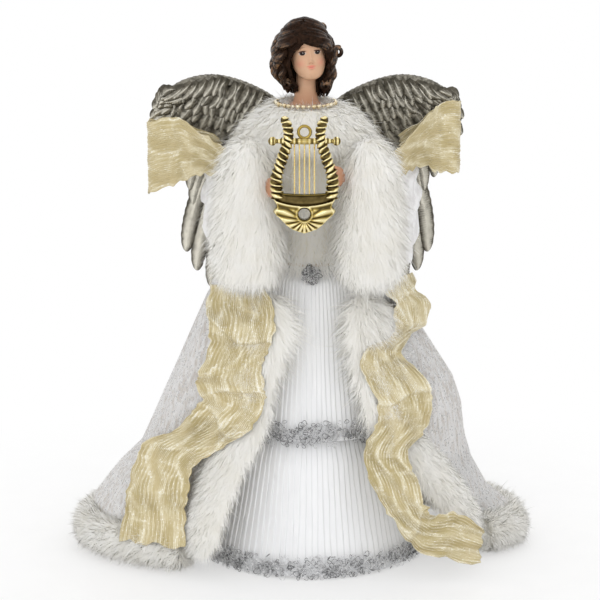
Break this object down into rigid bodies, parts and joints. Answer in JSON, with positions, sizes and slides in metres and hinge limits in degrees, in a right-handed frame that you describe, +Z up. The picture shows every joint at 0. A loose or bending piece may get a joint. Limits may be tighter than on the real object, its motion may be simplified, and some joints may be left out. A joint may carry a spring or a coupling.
{
  "type": "angel tree topper",
  "caption": "Angel tree topper: a doll on a card cone, in a pleated skirt and a fur-trimmed mesh coat, with wings, ribbons and a gold lyre in its hands.",
  "frame": {"origin": "centre of the open rim of the card cone, where the topper slips over the tip of the tree", "axes": "+Z up along the cone, -Y to the front where the face looks, +X to the viewer's right"},
  "size_m": [0.3476, 0.2238, 0.4064],
  "materials": {
    "card": "matt grey-brown board",
    "pleated_cloth": "white satin, knife pleated",
    "silver_braid": "looped silver metallic gimp",
    "plush_body": "short cream plush",
    "painted_skin": "painted, semi-gloss",
    "painted_hair": "gloss dark brown with bronze rubbed on the curls",
    "gold_beads": "pearly gold",
    "white_fur": "long cream-white pile",
    "glitter_mesh": "sheer silvery mesh with glitter",
    "bracket_steel": "bright wire and strip",
    "plated_gold": "mirror gold plating",
    "velvet": "crushed silvery-white velvet",
    "antique_silver": "antique silver paint with dark lowlights",
    "crinkled_ribbon": "crinkled champagne-gold metallic weave"
  },
  "bodies": {
    "root": {"body_cone": "card", "skirt_lower_tier": "pleated_cloth", "skirt_upper_tier": "pleated_cloth", "braid_lower": "silver_braid", "braid_upper": "silver_braid", "waist_rosette": "silver_braid", "bodice": "plush_body", "bust_head": "painted_skin", "hair": "painted_hair", "necklace": "gold_beads", "fur_collar": "white_fur", "coat": "glitter_mesh", "hem_fur": "white_fur", "wing_bracket": "bracket_steel", "lyre_frame": "plated_gold", "lyre_string_1": "plated_gold", "lyre_string_2": "plated_gold", "lyre_string_3": "plated_gold", "lyre_string_4": "plated_gold", "lyre_string_5": "plated_gold", "arm_wire_left": "bracket_steel", "hand_left": "painted_skin", "sleeve_left": "velvet", "fur_cuff_left": "white_fur", "front_fur_left": "white_fur", "wing_left": "antique_silver", "ribbon_loop_left": "crinkled_ribbon", "ribbon_tail_left": "crinkled_ribbon", "arm_wire_right": "bracket_steel", "hand_right": "painted_skin", "sleeve_right": "velvet", "fur_cuff_right": "white_fur", "front_fur_right": "white_fur", "wing_right": "antique_silver", "ribbon_loop_right": "crinkled_ribbon", "ribbon_tail_right": "crinkled_ribbon"}
  },
  "joints": []
}
